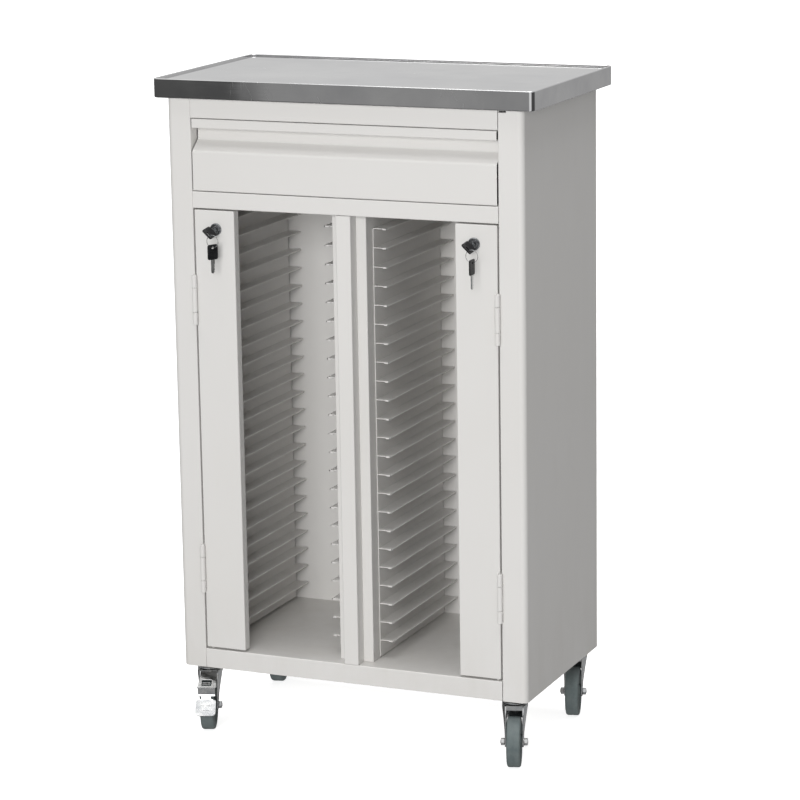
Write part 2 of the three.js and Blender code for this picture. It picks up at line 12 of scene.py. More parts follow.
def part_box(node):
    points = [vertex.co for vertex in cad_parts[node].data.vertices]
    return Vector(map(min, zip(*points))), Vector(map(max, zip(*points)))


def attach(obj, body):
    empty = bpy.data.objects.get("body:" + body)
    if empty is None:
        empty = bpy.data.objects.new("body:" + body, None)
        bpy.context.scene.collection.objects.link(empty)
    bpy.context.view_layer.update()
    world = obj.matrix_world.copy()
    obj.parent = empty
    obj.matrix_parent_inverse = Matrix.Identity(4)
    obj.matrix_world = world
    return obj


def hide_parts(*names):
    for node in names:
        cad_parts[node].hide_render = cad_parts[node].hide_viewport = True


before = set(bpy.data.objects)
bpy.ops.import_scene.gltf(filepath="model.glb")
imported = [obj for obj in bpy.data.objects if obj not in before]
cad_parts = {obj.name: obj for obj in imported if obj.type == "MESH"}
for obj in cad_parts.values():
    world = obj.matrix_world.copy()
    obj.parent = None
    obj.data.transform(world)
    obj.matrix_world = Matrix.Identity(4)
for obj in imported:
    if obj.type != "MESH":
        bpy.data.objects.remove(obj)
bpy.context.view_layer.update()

# ---- Driving dimensions ------------------------------------------------------------------------

MM = 0.001
SHEET = 1.2                 # folded sheet steel
MID = SHEET / 2             # from a sheet's face to its middle line
BEND = 1.3                  # middle-line radius of an ordinary fold
CORNER = 9                  # radius of the side panels' front corner
EDGE = 0.28                 # softened raw edge
CLEAR = 0.2                 # clearance between pieces that would otherwise touch
SIDES = {"left": -1, "right": 1}
PLACES = ("lower", "upper")
CASTERS = ("fl", "fr", "bl", "br")
BRAKED = ("fl", "bl")

JAMB = 24                   # each side panel's return behind the stile and at the back
NOTCH = {"width": 13, "height": 3.8}        # relief below the tray, at the right stile
MID_RAIL_FLANGE = 15.4      # the mid rail's lower flange
PAN_SETBACK = 24.4          # the bottom pan widens this far behind its face
DRAIN = {"x": 249, "setback": 8, "radius": 2.2}     # the small hole below each door

LEDGES = 23
LEDGE_REACH = 24.4
LEDGE_HEM = 8
LEDGE_PITCH = 30.4
RACK_FACE = {"inner": 29.4, "outer": 245.2}         # from the trolley's middle to the rack's panel
RACK_BEND = 2.4             # where the panel folds into its top ledge
RACK_FLANGE_DROP = 6

TRAY = {"rim": 3, "recess": 3, "corner": 10, "lip": 8, "draft": 0.3, "roll": 0.7, "sink": 0.8, "inset": 24}

# The drawer front's heights are measured down from its top edge.
DRAWER = {"flange": 14, "band": 15, "recess": 35, "slope": 51.5, "bend": 5, "half": 240, "corner": 2.5}
DRAWER_RAIL = {"low": 929.4, "high": 943.6, "setback": 4}

DOOR = {"lip": 8, "corner": 1.8}
HINGE = {"x": 257.8, "radius": 4.2, "bore": 1.7, "pin": 1.6, "leaf": 0.7, "gap": 0.4, "chamfer": 0.5}
LEAF_FACE = {"frame": 258, "door": 256.9}
KNUCKLES = (20, 59.6)       # where the middle knuckle starts and ends, above the hinge's foot

LOCK = {"disc": 9.75, "barrel": 8.9, "bore": 5.2, "nut": 12.75, "nut_bore": 7.5, "chamfer": 0.6}
KEY_TURN = math.radians(45)
KEY_DROOP = math.radians(6)
SPARE_YAW = {"left": math.radians(-25), "right": 0}
BOW = {"half": 9.75, "corner": 3.2, "half_thick": 1.5, "rib": 0.55, "rib_pitch": 2.6, "ribs": 5}
BLADE = 0.9                 # half a key blade's thickness
RING = {"wire": 0.40, "spread": 0.42, "turns": 1.9, "steps": 44, "start": 0.7}

# Caster heights are from the floor, with the stem's axis at (0, 0) and the wheel trailing towards -Y.
CROWN = {"radius": 20.5, "bottom": 87.8, "top": 95.8, "bore": 4.4}
STEM = {"neck": 4, "bolt": 6, "head": 7, "foot": 81, "top": 128, "cup": 96.2}
STEM_NUT = {"bottom": 107.0, "top": 114.9, "radius": 10, "bore": 5.0, "chamfer": 0.8}
AXLE = {"radius": 3, "half": 21.8, "chamfer": 0.4}
WHEEL = {"half": 11, "hub_face": 12.2, "bore": 3.4, "mould_line": 0.8}
LEG = {"top": 95.0, "eye": 8.5, "half": 14.8, "thick": 2.2, "bulge": 5.5, "rows": 15, "columns": 12}
PRESSED = 1.8               # sheet of the brake's web and pedal
WEB = [(-12, 94.0), (-20, 94.0, 3), (-57, 77)]
PEDAL = [(-62.4, 79.5), (-62.4, 67.5, 2), (-70, 61, 3), (-88, 39)]
PLATE = {"length": 50.0, "half": 16.5, "corner": 6.0}
RIBS = ((10, 9.5), (18, 5.5))       # each rib's place down the pedal's plate, and its half length

QUARTER = math.pi / 2

LENS = 140.88
CAMERA = (1.9706, -4.5145, 1.6368)
KEY_LIGHT = {"place": (1.0, -5.2, 1.7), "target": (0, 0, 0.55), "size": (2.4, 2.2), "power": 197}
OVERHEAD = {"energy": 2.3, "angle": math.radians(50)}
MIRRORED_FLOOR = 0.10       # how bright the metal sees the studio below the horizon, on the left
# Going round from the left past the front, it changes by these steps, each between two azimuths
# in degrees from the front towards the right.
TURNS = ((-26.2, -25.9, 0.25), (12, 26, 0.60), (50, 66, -0.86), (122, 138, 0.36))
AMBIENT = 0.07              # the studio's own dim light
FRONT_GLOW = 0.24           # light from the studio's front wall
FLOOR_GLOW = 0.52           # light that the floor throws back up


def box_mm(node):
    """Lowest and highest corner of a CAD node, in millimetres."""
    low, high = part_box(node)
    return low / MM, high / MM


def middle_mm(node):
    """The middle of a CAD node's box, in millimetres."""
    low, high = box_mm(node)
    return (low + high) / 2


# ---- Drawing meshes ----------------------------------------------------------------------------

def spot(axis, u, v, w):
    """A point at (u, v) in the section plane and w along the axis."""
    return {"x": (w, u, v), "y": (u, w, v), "z": (u, v, w)}[axis]


def bend_corners(path, steps=6):
    """A path's points, with an arc at each point whose third number is a bend radius."""
    line = []
    for i, (u, v, *radius) in enumerate(path):
        corner = Vector((u, v))
        if not radius:
            line.append(corner)
            continue
        into = (corner - Vector(path[i - 1][:2])).normalized()
        away = (Vector(path[i + 1][:2]) - corner).normalized()
        turn = math.atan2(into.x * away.y - into.y * away.x, into.dot(away))
        start = corner - into * radius[0] * math.tan(abs(turn) / 2)
        centre = start + Vector((-into.y, into.x)) * math.copysign(radius[0], turn)
        for k in range(steps + 1):
            line.append(centre + Matrix.Rotation(turn * k / steps, 2) @ (start - centre))
    return line


def beside(line, distance):
    """The line moved sideways, with mitred corners."""
    moved = []
    for i, point in enumerate(line):
        after = (line[min(i + 1, len(line) - 1)] - line[min(i, len(line) - 2)]).normalized()
        before = (line[max(i, 1)] - line[max(i - 1, 0)]).normalized()
        mitre = Vector((-before.y - after.y, before.x + after.x)).normalized()
        moved.append(point + mitre * distance / mitre.dot(Vector((-before.y, before.x))))
    return moved


def add_sheet(bm, path, axis, low, high, thickness=SHEET, steps=6):
    """A folded sheet whose middle line is the path, pushed along an axis."""
    line = bend_corners(path, steps)
    near, far = beside(line, thickness / 2), beside(line, -thickness / 2)
    near_low, near_high, far_low, far_high = (
        [bm.verts.new(spot(axis, p.x, p.y, w)) for p in edge] for edge in (near, far) for w in (low, high))
    for a, b in ((near_low, near_high), (far_low, far_high), (near_low, far_low), (near_high, far_high)):
        for i in range(len(line) - 1):
            bm.faces.new((a[i], a[i + 1], b[i + 1], b[i]))
    for i in (0, -1):
        bm.faces.new((near_low[i], near_high[i], far_high[i], far_low[i]))


def add_prism(bm, outline, axis, low, high):
    """An outline pushed along an axis."""
    ends = [[bm.verts.new(spot(axis, u, v, w)) for u, v in outline] for w in (low, high)]
    for end in ends:
        bm.faces.new(end)
    for i in range(len(outline)):
        bm.faces.new((ends[0][i - 1], ends[0][i], ends[1][i], ends[1][i - 1]))


def add_block(bm, x, y, z):
    """A block between two limits each way."""
    add_prism(bm, [(x[0], y[0]), (x[1], y[0]), (x[1], y[1]), (x[0], y[1])], "z", *z)


def circle(u, v, radius, sides=32, start=0.0):
    """A regular polygon round (u, v)."""
    angles = [start + 2 * math.pi * i / sides for i in range(sides)]
    return [(u + radius * math.cos(angle), v + radius * math.sin(angle)) for angle in angles]


def rounded_rectangle(u, v, radius, steps=5):
    """A rectangle between two limits each way, with round corners."""
    corners = [(u[1], v[1], -1, -1), (u[0], v[1], 1, -1), (u[0], v[0], 1, 1), (u[1], v[0], -1, 1)]
    return [
        (
            cu + du * radius + radius * math.cos(QUARTER * (quarter + i / steps)),
            cv + dv * radius + radius * math.sin(QUARTER * (quarter + i / steps)),
        )
        for quarter, (cu, cv, du, dv) in enumerate(corners)
        for i in range(steps + 1)
    ]


def add_lathe(bm, profile, axis, centre, sides=48):
    """A profile of (radius, place along the axis) turned about the axis. It starts and ends on
    the axis, or closes on itself."""
    rings = []
    closed = profile[0][0] > 0
    for radius, along in profile:
        points = circle(centre[0], centre[1], radius, sides) if radius > 0 else [centre]
        rings.append([bm.verts.new(spot(axis, u, v, along)) for u, v in points])
    pairs = zip(rings, rings[1:] + rings[:1]) if closed else zip(rings, rings[1:])
    for a, b in pairs:
        for i in range(sides):
            loop = [a[i - 1], a[i], b[i], b[i - 1]] if len(a) == len(b) else None
            loop = loop or ([a[0], b[i], b[i - 1]] if len(a) == 1 else [a[i - 1], a[i], b[0]])
            bm.faces.new(loop)


def add_pan(bm, section, axis, u, v, corner, thickness=SHEET, steps=6):
    """A pressed pan. Its section, given as (inset, height), runs from the free edge to the floor,
    and goes round the rounded rectangle between limits u and v."""
    line = bend_corners(section)
    skins = []
    for distance in (thickness / 2, -thickness / 2):
        rings = []
        for inset, height in beside(line, distance):
            outline = rounded_rectangle(
                (u[0] + inset, u[1] - inset), (v[0] + inset, v[1] - inset), max(corner - inset, 0.4), steps)
            rings.append([bm.verts.new(spot(axis, p, q, height)) for p, q in outline])
        for a, b in zip(rings, rings[1:]):
            for i in range(len(a)):
                bm.faces.new((a[i - 1], a[i], b[i], b[i - 1]))
        bm.faces.new(rings[-1])
        skins.append(rings)
    near, far = skins[0][0], skins[1][0]
    for i in range(len(near)):
        bm.faces.new((near[i - 1], near[i], far[i], far[i - 1]))


def add_wire(bm, points, radius, sides=8, closed=False):
    """A round wire along points in the frame."""
    rings = []
    count = len(points)
    for i, point in enumerate(points):
        ahead = points[(i + 1) % count] if closed else points[min(i + 1, count - 1)]
        behind = points[i - 1] if closed or i else points[0]
        way = (ahead - behind).normalized()
        side = way.orthogonal() if not rings else last_side
        side = (side - way * side.dot(way)).normalized()
        last_side = side
        other = way.cross(side)
        rings.append([
            bm.verts.new(point + radius * (math.cos(a) * side + math.sin(a) * other))
            for a in (2 * math.pi * k / sides for k in range(sides))
        ])
    for a, b in zip(rings, rings[1:] + rings[:1] if closed else rings[1:]):
        for k in range(sides):
            bm.faces.new((a[k - 1], a[k], b[k], b[k - 1]))
    if not closed:
        bm.faces.new(rings[0])
        bm.faces.new(rings[-1])


def move(bm, matrix):
    bmesh.ops.transform(bm, matrix=matrix, verts=bm.verts)


# ---- Making pieces -----------------------------------------------------------------------------

def soften(piece, width, segments=2, angle=38):
    """Round the sharp edges, and keep the flats flat."""
    if width:
        bevel = piece.modifiers.new("edges", "BEVEL")
        bevel.width = width * MM
        bevel.segments = segments
        bevel.limit_method = "ANGLE"
        bevel.angle_limit = math.radians(angle)
        bevel.use_clamp_overlap = False
        bevel.miter_outer = "MITER_ARC"
    normals = piece.modifiers.new("normals", "WEIGHTED_NORMAL")
    normals.weight = 100


def make(name, bm, body, slot, replaced=(), edge=EDGE, segments=2):
    """One piece of the object, from a mesh drawn in millimetres."""
    bmesh.ops.recalc_face_normals(bm, faces=bm.faces)
    bmesh.ops.scale(bm, vec=(MM, MM, MM), verts=bm.verts)
    mesh = bpy.data.meshes.new(name)
    bm.to_mesh(mesh)
    bm.free()
    mesh.shade_smooth()
    piece = bpy.data.objects.new(name, mesh)
    bpy.context.scene.collection.objects.link(piece)
    mesh.materials.append(materials[slot])
    soften(piece, edge, segments)
    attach(piece, body)
    if replaced:
        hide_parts(*replaced)
    return piece


def drill(piece, bm):
    """Cut a mesh drawn in millimetres out of a piece."""
    bmesh.ops.recalc_face_normals(bm, faces=bm.faces)
    bmesh.ops.scale(bm, vec=(MM, MM, MM), verts=bm.verts)
    mesh = bpy.data.meshes.new("cutter")
    bm.to_mesh(mesh)
    bm.free()
    cutter = bpy.data.objects.new("cutter", mesh)
    bpy.context.scene.collection.objects.link(cutter)
    for modifier in piece.modifiers:
        modifier.show_viewport = False
    cut = piece.modifiers.new("cut", "BOOLEAN")
    cut.operation = "DIFFERENCE"
    cut.solver = "EXACT"
    cut.object = cutter
    bpy.context.view_layer.update()
    shaped = piece.evaluated_get(bpy.context.evaluated_depsgraph_get())
    piece.data = bpy.data.meshes.new_from_object(shaped)
    piece.modifiers.remove(cut)
    for modifier in piece.modifiers:
        modifier.show_viewport = True
    bpy.data.objects.remove(cutter)


# ---- Materials ---------------------------------------------------------------------------------

def add_node(tree, kind, inputs=None, **settings):
    """A shader node, with sockets linked and values set on its inputs."""
    node = tree.nodes.new("ShaderNode" + kind)
    for key, value in settings.items():
        setattr(node, key, value)
    for key, value in (inputs or {}).items():
        if isinstance(value, bpy.types.NodeSocket):
            tree.links.new(value, node.inputs[key])
        else:
            node.inputs[key].default_value = value
    return node


def noise(tree, place, scale, detail=2.0, roughness=0.5, stretch=(1, 1, 1), turn=(0, 0, 0)):
    """Noise in the piece's own space, turned and then stretched. The scale is in cells per metre."""
    facing = add_node(tree, "Mapping", {"Vector": place, "Rotation": turn}).outputs["Vector"]
    mapped = add_node(tree, "Mapping", {"Vector": facing, "Scale": stretch})
    return add_node(tree, "TexNoise", {
        "Vector": mapped.outputs["Vector"], "Scale": scale, "Detail": detail, "Roughness": roughness,
    }).outputs["Fac"]


def ramp(tree, value, low, high, to_low=0.0, to_high=1.0):
    """A value between low and high, spread over another range and clamped."""
    return add_node(tree, "MapRange", {
        "Value": value, "From Min": low, "From Max": high, "To Min": to_low, "To Max": to_high,
    }).outputs["Result"]


def blend_colours(tree, factor, first, second):
    """The first colour at factor 0, the second at 1."""
    mix = add_node(tree, "Mix", {0: factor}, data_type="RGBA")
    for socket, value in ((mix.inputs[6], first), (mix.inputs[7], second)):
        if isinstance(value, bpy.types.NodeSocket):
            tree.links.new(value, socket)
        else:
            socket.default_value = (*value, 1.0)
    return mix.outputs[2]


def times(tree, first, second, operation="MULTIPLY"):
    """The product of two values, or what another operation makes of them."""
    return add_node(tree, "Math", {0: first, 1: second}, operation=operation).outputs["Value"]


def new_material(name, **constants):
    """A material, its node tree, its shader and the piece's own coordinates."""
    material = bpy.data.materials.new(name)
    material.use_nodes = True
    tree = material.node_tree
    shader = tree.nodes["Principled BSDF"]
    for key, value in constants.items():
        shader.inputs[key.replace("_", " ")].default_value = value
    place = add_node(tree, "TexCoord").outputs["Object"]
    return material, tree, shader, place


def wire(tree, shader, **sockets):
    """Link sockets to the shader's inputs of the same names."""
    for key, socket in sockets.items():
        tree.links.new(socket, shader.inputs[key.replace("_", " ")])


def bump(tree, height, distance, strength=1.0, normal=None):
    """A bump in metres, on top of another one if given."""
    inputs = {"Height": height, "Distance": distance, "Strength": strength}
    if normal:
        inputs["Normal"] = normal
    return add_node(tree, "Bump", inputs).outputs["Normal"]


def scratches(tree, place, stretch, turn, threshold):
    """Sparse fine lines along one direction, from stretched noise kept to a few patches."""
    scratches_and_glints = noise(tree, place, 60, detail=1.0, stretch=stretch, turn=turn)
    patches = noise(tree, place, 9, detail=1.0)
    return times(tree, ramp(tree, scratches_and_glints, threshold, threshold + 0.03), ramp(tree, patches, 0.52, 0.60))


def paint_material():
    """Baked powder coat on steel: pale warm grey, a fine orange peel, faint handling marks."""
    material, tree, shader, place = new_material("powder_coat", IOR=1.5)
    clouds = noise(tree, place, 2.6, detail=3.0)
    base = blend_colours(tree, ramp(tree, clouds, 0.3, 0.7), (0.672, 0.659, 0.638), (0.694, 0.683, 0.667))
    speckle = noise(tree, place, 900, detail=1.0)
    base = blend_colours(tree, ramp(tree, speckle, 0.55, 0.85, 0, 0.12), base, (0.63, 0.615, 0.59))
    marks = noise(tree, place, 14, detail=5.0, roughness=0.65, stretch=(1, 1, 0.35))
    base = blend_colours(tree, ramp(tree, marks, 0.60, 0.80, 0, 0.16), base, (0.57, 0.55, 0.52))
    height = add_node(tree, "SeparateXYZ", {"Vector": place}).outputs["Z"]
    dust = times(tree, ramp(tree, height, 0.26, 0.10), ramp(tree, marks, 0.35, 0.7))
    base = blend_colours(tree, times(tree, dust, 0.35), base, (0.54, 0.515, 0.475))
    peel = noise(tree, place, 520, detail=2.0)
    ripple = noise(tree, place, 120, detail=1.0)
    relief = bump(tree, peel, 0.00005, 0.5)
    relief = bump(tree, ripple, 0.00006, 0.35, relief)
    wire(tree, shader, Base_Color=base, Normal=relief, Roughness=ramp(tree, marks, 0.3, 0.75, 0.36, 0.52))
    return material


def stainless_material():
    """Polished stainless sheet, wiped and lightly scratched, with a painted highlight along the scratches.
    """
    material, tree, shader, place = new_material("polished_stainless", Metallic=1.0)
    clouds = noise(tree, place, 7, detail=4.0, roughness=0.6)
    grain = noise(tree, place, 500, detail=2.0, stretch=(0.02, 1, 1))
    colour = blend_colours(tree, ramp(tree, clouds, 0.3, 0.7), (0.54, 0.54, 0.55), (0.70, 0.70, 0.695))
    slanting = scratches(tree, place, (0.25, 0.3, 14), (0, -1.05, 0), 0.72)
    crossing = scratches(tree, place, (0.25, 14, 0.3), (0, 0, 0.9), 0.72)
    scratches_and_glints = times(tree, slanting, crossing, "MAXIMUM")
    # The scratches are also painted lighter: a painted highlight where each would catch the light. Their
    # added roughness below is real.
    colour = blend_colours(tree, times(tree, scratches_and_glints, 0.5), colour, (0.86, 0.86, 0.86))
    smears = ramp(tree, clouds, 0.35, 0.7, 0.02, 0.08)
    roughness = times(tree, smears, times(tree, scratches_and_glints, 0.25), "ADD")
    roughness = times(tree, roughness, ramp(tree, grain, 0.3, 0.7, -0.01, 0.01), "ADD")
    relief = bump(tree, grain, 0.000004, 0.6)
    waves = noise(tree, place, 9, detail=1.0)
    relief = bump(tree, waves, 0.0005, 0.5, relief)
    wire(tree, shader, Base_Color=colour, Roughness=roughness, Normal=relief)
    return material


def zinc_material():
    """Bright zinc plate: cloudy, slightly blue, duller where it is handled."""
    material, tree, shader, place = new_material("zinc_plate", Metallic=1.0)
    clouds = noise(tree, place, 60, detail=4.0, roughness=0.6)
    fine = noise(tree, place, 900, detail=2.0)
    colour = blend_colours(tree, ramp(tree, clouds, 0.3, 0.7), (0.40, 0.415, 0.43), (0.58, 0.58, 0.575))
    grime = noise(tree, place, 130, detail=3.0)
    colour = blend_colours(tree, ramp(tree, grime, 0.60, 0.78, 0, 0.5), colour, (0.20, 0.18, 0.155))
    relief = bump(tree, fine, 0.00003, 0.4)
    wire(tree, shader, Base_Color=colour, Roughness=ramp(tree, clouds, 0.3, 0.75, 0.14, 0.30), Normal=relief)
    return material


def lock_material():
    """Dark chrome on a die-cast lock."""
    material, tree, shader, place = new_material("dark_chrome", Metallic=1.0)
    clouds = noise(tree, place, 140, detail=3.0)
    colour = blend_colours(tree, ramp(tree, clouds, 0.35, 0.7), (0.12, 0.125, 0.13), (0.26, 0.265, 0.275))
    pits = noise(tree, place, 1400, detail=2.0)
    relief = bump(tree, pits, 0.00002, 0.5)
    wire(tree, shader, Base_Color=colour, Roughness=ramp(tree, clouds, 0.3, 0.7, 0.12, 0.26), Normal=relief)
    return material


def plastic_material():
    """Moulded black plastic on the keys' heads."""
    material, tree, shader, place = new_material("black_plastic", IOR=1.4)
    grain = noise(tree, place, 1600, detail=2.0)
    rubbed = noise(tree, place, 160, detail=3.0)
    colour = blend_colours(tree, ramp(tree, rubbed, 0.45, 0.8), (0.005, 0.005, 0.006), (0.020, 0.020, 0.022))
    relief = bump(tree, grain, 0.00003, 0.5)
    wire(tree, shader, Base_Color=colour, Roughness=ramp(tree, rubbed, 0.3, 0.8, 0.34, 0.55), Normal=relief)
    return material


def rubber_material():
    """Non-marking grey-green rubber, scuffed and a little dusty."""
    material, tree, shader, place = new_material("grey_rubber", IOR=1.45)
    clouds = noise(tree, place, 70, detail=4.0, roughness=0.65)
    colour = blend_colours(tree, ramp(tree, clouds, 0.3, 0.75), (0.098, 0.124, 0.126), (0.152, 0.176, 0.174))
    specks = noise(tree, place, 700, detail=3.0)
    colour = blend_colours(tree, ramp(tree, specks, 0.60, 0.75, 0, 0.5), colour, (0.085, 0.09, 0.085))
    relief = bump(tree, specks, 0.00012, 0.35)
    wire(tree, shader, Base_Color=colour, Roughness=ramp(tree, clouds, 0.3, 0.75, 0.5, 0.75), Normal=relief)
    return material


materials = {
    "paint": paint_material(),
    "stainless": stainless_material(),
    "zinc": zinc_material(),
    "lock_metal": lock_material(),
    "black_plastic": plastic_material(),
    "grey_rubber": rubber_material(),
}

# ---- Cabinet -----------------------------------------------------------------------------------

def side_panel(name, side):
    """One sheet wraps the front corner into the stile and jamb, and returns at the back."""
    node = f"side_panel_{name}"
    low, high = box_mm(node)
    jamb = min(abs(low.x), abs(high.x)) + MID
    wall = max(abs(low.x), abs(high.x)) - MID
    bm = bmesh.new()
    add_sheet(bm, [
        (side * jamb, low.y + JAMB),
        (side * jamb, low.y + MID, BEND),
        (side * wall, low.y + MID, CORNER),
        (side * wall, high.y - MID, BEND),
        (side * (wall - JAMB), high.y - MID),
    ], "z", low.z, high.z, steps=8)
    foot = box_mm(f"base_channel_{name}")[1].z + CLEAR
    for vert in bm.verts:
        if abs(vert.co.x) < jamb + SHEET and vert.co.y > low.y + SHEET:
            vert.co.z = max(vert.co.z, foot)
    panel = make(node, bm, "cabinet", "paint", [node])
    if name == "right":
        relief = bmesh.new()
        bottom = box_mm("worktop_tray")[0].z - NOTCH["height"]
        across = (jamb - SHEET, jamb + NOTCH["width"])
        add_block(relief, across, (low.y - 1, low.y + SHEET + 0.5), (bottom, high.z + 1))
        drill(panel, relief)


def rails():
    """The three rails across the front, each with its folded flanges."""
    low, high = box_mm("top_rail")
    bm = bmesh.new()
    add_sheet(bm, [
        (low.y + MID, high.z),
        (low.y + MID, low.z + MID, BEND),
        (high.y, low.z + MID),
    ], "x", low.x, high.x)
    make("top_rail", bm, "cabinet", "paint", ["top_rail"])

    low, high = box_mm("mid_rail")
    bm = bmesh.new()
    add_sheet(bm, [
        (high.y, high.z - MID),
        (low.y + MID, high.z - MID, BEND),
        (low.y + MID, low.z + MID, BEND),
        (low.y + MID_RAIL_FLANGE, low.z + MID),
    ], "x", low.x, high.x)
    make("mid_rail", bm, "cabinet", "paint", ["mid_rail"])

    low, high = box_mm("bottom_pan")
    opening = box_mm("top_rail")[1].x
    behind = low.y + PAN_SETBACK
    bm = bmesh.new()
    add_sheet(bm, [
        (low.y + MID, low.z),
        (low.y + MID, high.z - MID, BEND),
        (high.y, high.z - MID),
    ], "x", -opening, opening)
    for side in SIDES.values():
        wing = sorted((side * (opening - 0.5), side * high.x))
        add_block(bm, wing, (behind, high.y), (high.z - SHEET, high.z - 0.01))
    pan = make("bottom_pan", bm, "cabinet", "paint", ["bottom_pan"])
    holes = bmesh.new()
    for side in SIDES.values():
        hole = circle(side * DRAIN["x"], low.y + DRAIN["setback"], DRAIN["radius"], 20)
        add_prism(holes, hole, "z", high.z - 5, high.z + 5)
    drill(pan, holes)


def posts():
    """The mullion between the doors, and the full-depth channel behind it that carries the racks."""
    for name in ("mullion", "divider_post"):
        low, high = box_mm(name)
        x = high.x - MID
        bm = bmesh.new()
        add_sheet(bm, [
            (x, high.y),
            (x, low.y + MID, BEND),
            (-x, low.y + MID, BEND),
            (-x, high.y),
        ], "z", low.z, high.z)
        make(name, bm, "cabinet", "paint", [name])


def ledge_path(panel, way, z, first):
    """A ledge in (x, z) from its panel to the hem doubled under its free edge."""
    nose = panel + way * (LEDGE_REACH - MID)
    hem = z - MID - SHEET - 0.05
    return [*first, (nose, z - MID, MID), (nose, hem, MID), (nose - way * (LEDGE_HEM - MID), hem)]


def rack(name, part):
    """A panel folded over at the top into its first ledge, and the ledges welded below."""
    side = SIDES[name]
    node = f"rack_{name}_{part}"
    low, high = box_mm(node)
    way = side if part == "inner" else -side
    panel = side * RACK_FACE[part]
    middle, welded = panel + way * MID, panel + way * (SHEET - 0.1)
    bm = bmesh.new()
    top = ledge_path(panel, way, high.z, [(middle, low.z), (middle, high.z - MID, RACK_BEND)])
    add_sheet(bm, top, "y", low.y, high.y, steps=5)
    for i in range(1, LEDGES):
        z = high.z - i * LEDGE_PITCH
        add_sheet(bm, ledge_path(panel, way, z, [(welded, z - MID)]), "y", low.y, high.y, steps=4)
    if part == "outer":
        flange = sorted((panel, side * max(abs(low.x), abs(high.x))))
        add_block(bm, flange, (low.y + 0.1, low.y + SHEET), (low.z + 0.1, high.z - RACK_FLANGE_DROP))
    make(node, bm, "cabinet", "paint", [node], edge=0.22)


def worktop():
    """A pressed tray: returned lip, skirt, rolled rim and sunk surface."""
    low, high = box_mm("worktop_tray")
    top, surface = high.z - MID, high.z - TRAY["recess"] - MID
    wall = TRAY["rim"] - MID + TRAY["draft"]
    bm = bmesh.new()
    add_pan(bm, [
        (TRAY["lip"], low.z + MID),
        (MID, low.z + MID, BEND),
        (MID, top, TRAY["roll"]),
        (wall, top, TRAY["roll"]),
        (wall, surface, TRAY["sink"]),
        (TRAY["rim"] + TRAY["inset"], surface),
    ], "z", (low.x, high.x), (low.y, high.y), TRAY["corner"], steps=10)
    make("worktop_tray", bm, "cabinet", "stainless", ["worktop_tray"])


def back_panel():
    """A flat sheet let in between the side panels."""
    low, high = box_mm("back_panel")
    bm = bmesh.new()
    add_block(bm, (low.x, high.x), (low.y, high.y), (low.z, high.z))
    make("back_panel", bm, "cabinet", "paint", ["back_panel"])


# ---- Drawer ------------------------------------------------------------------------------------

def drawer():
    """The folded front with its sunk finger-pull, and the box behind it with a rail on each side."""
    low, high = box_mm("drawer_front")
    face, pull = low.y + MID, high.y - MID
    band = high.z - DRAWER["band"] + MID
    bm = bmesh.new()
    add_sheet(bm, [
        (face + DRAWER["flange"], high.z - MID),
        (face, high.z - MID, BEND),
        (face, band, BEND),
        (pull, band, BEND),
        (pull, high.z - DRAWER["recess"], DRAWER["bend"]),
        (face, high.z - DRAWER["slope"], DRAWER["bend"]),
        (face, low.z + MID, BEND),
        (pull, low.z + MID),
    ], "x", low.x, high.x)
    make("drawer_front", bm, "drawer", "paint", ["drawer_front"])

    low, high = box_mm("drawer_box")
    half = DRAWER["half"]
    bm = bmesh.new()
    add_pan(bm, [
        (MID, high.z),
        (MID, low.z + MID, BEND),
        (40, low.z + MID),
    ], "z", (-half, half), (low.y, high.y), DRAWER["corner"])
    foot, head = DRAWER_RAIL["low"] + MID, DRAWER_RAIL["high"] - MID
    for side in SIDES.values():
        add_sheet(bm, [
            (side * (half + 0.1), foot),
            (side * (high.x - MID), foot, BEND),
            (side * (high.x - MID), head, BEND),
            (side * (half + 0.1), head),
        ], "y", low.y + DRAWER_RAIL["setback"], high.y)
    make("drawer_box", bm, "drawer", "paint", ["drawer_box"])


# ---- Doors and hinges --------------------------------------------------------------------------

def door(name):
    """A pan folded back on all four sides, with a lip turned in behind."""
    node = f"door_{name}"
    low, high = box_mm(node)
    rear = high.y - MID
    bm = bmesh.new()
    add_pan(bm, [
        (DOOR["lip"], rear),
        (MID, rear, BEND),
        (MID, low.y + MID, BEND),
        (30, low.y + MID),
    ], "y", (low.x, high.x), (low.z, high.z), DOOR["corner"], steps=4)
    make(node, bm, node, "paint", [node])


